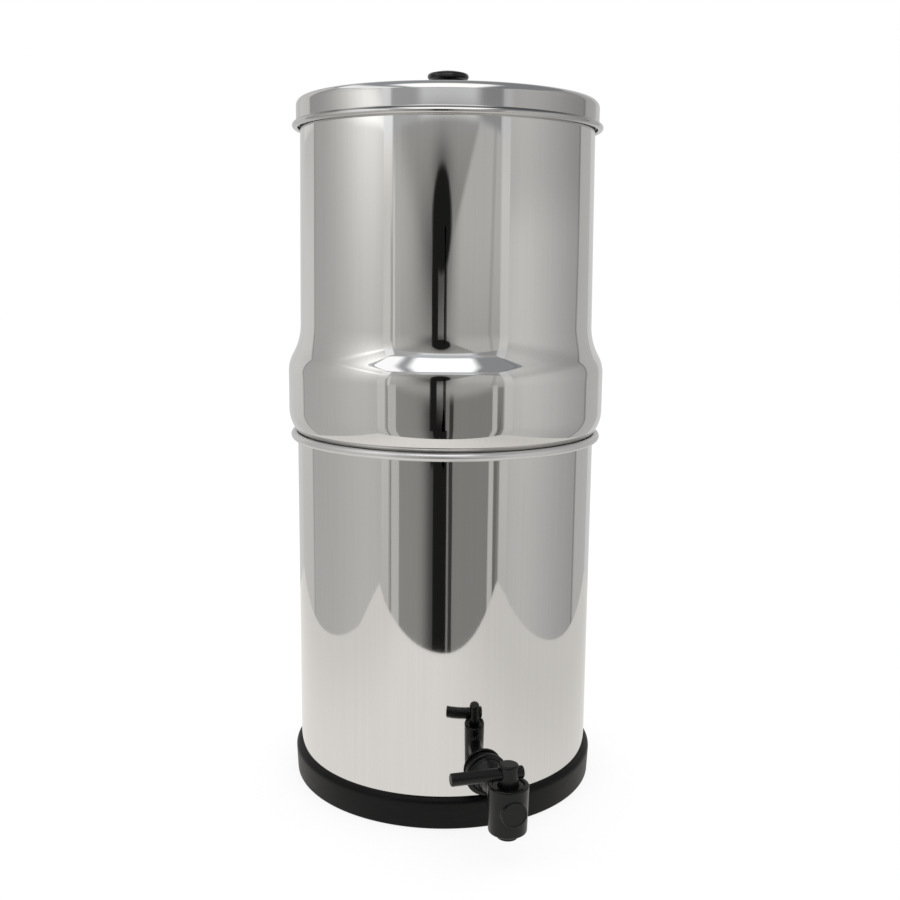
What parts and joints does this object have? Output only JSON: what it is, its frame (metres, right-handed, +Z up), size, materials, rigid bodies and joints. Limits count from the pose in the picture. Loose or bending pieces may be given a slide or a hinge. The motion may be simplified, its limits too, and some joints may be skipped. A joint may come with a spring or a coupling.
{
  "type": "gravity water filter",
  "caption": "Polished steel countertop gravity water filter: a lower chamber with a turning tap, a nested upper chamber with ceramic candles, and a lid with a knob.",
  "frame": {"origin": "centre of the base where it meets the table, which is the mouth of the opening through the base ring", "axes": "+Z up; the tap points to -Y; +X is the side opposite the closed lever's long end"},
  "size_m": [0.228, 0.2857, 0.5132],
  "materials": {
    "polished_steel": "mirror-polished stainless steel",
    "lid_steel": "mirror-polished stainless steel, formed in one sheet with a curled edge",
    "fastener_steel": "plain turned stainless steel",
    "base_rubber": "matt black moulded rubber",
    "black_plastic": "satin black moulded plastic",
    "lever_plastic": "glossy black rod",
    "knob_plastic": "glossy black moulded plastic",
    "washer_rubber": "matt black rubber",
    "white_rubber": "translucent white silicone rubber",
    "white_plastic": "matt white moulded plastic",
    "candle_ceramic": "unglazed off-white ceramic with a fine porous surface",
    "candle_carbon": "matt black pressed carbon"
  },
  "bodies": {
    "lower_unit": {"base_ring": "base_rubber", "lower_chamber": "polished_steel", "tap_body": "black_plastic", "tap_outer_washer": "washer_rubber", "tap_inner_washer": "washer_rubber", "tap_nut": "black_plastic", "tap_collar": "black_plastic"},
    "tap_cock": {"tap_plug": "black_plastic", "tap_lever": "lever_plastic", "plug_o_rings": "washer_rubber"},
    "upper_unit": {"upper_chamber": "polished_steel", "candle_shell_1": "candle_ceramic", "candle_core_1": "candle_carbon", "candle_cap_1": "white_plastic", "candle_seal_1": "white_rubber", "candle_nut_1": "white_plastic", "blanking_plug_1": "white_plastic", "blanking_seal_1": "white_rubber", "blanking_nut_1": "white_plastic", "candle_shell_2": "candle_ceramic", "candle_core_2": "candle_carbon", "candle_cap_2": "white_plastic", "candle_seal_2": "white_rubber", "candle_nut_2": "white_plastic", "blanking_plug_2": "white_plastic", "blanking_seal_2": "white_rubber", "blanking_nut_2": "white_plastic"},
    "lid_unit": {"lid": "lid_steel", "lid_knob": "knob_plastic", "knob_washer": "fastener_steel", "knob_screw": "fastener_steel"}
  },
  "joints": [
    {"name": "tap_turn", "type": "hinge", "parent": "lower_unit", "child": "tap_cock", "pos_m": [0, -0.1575, 0.061], "axis": [0, 0, 1], "range_deg": [0, 90]},
    {"name": "upper_lift", "type": "slide", "parent": "lower_unit", "child": "upper_unit", "axis": [0, 0, 1], "range_m": [0, 0.1]},
    {"name": "lid_lift", "type": "slide", "parent": "upper_unit", "child": "lid_unit", "axis": [0, 0, 1], "range_m": [0, 0.06]}
  ]
}
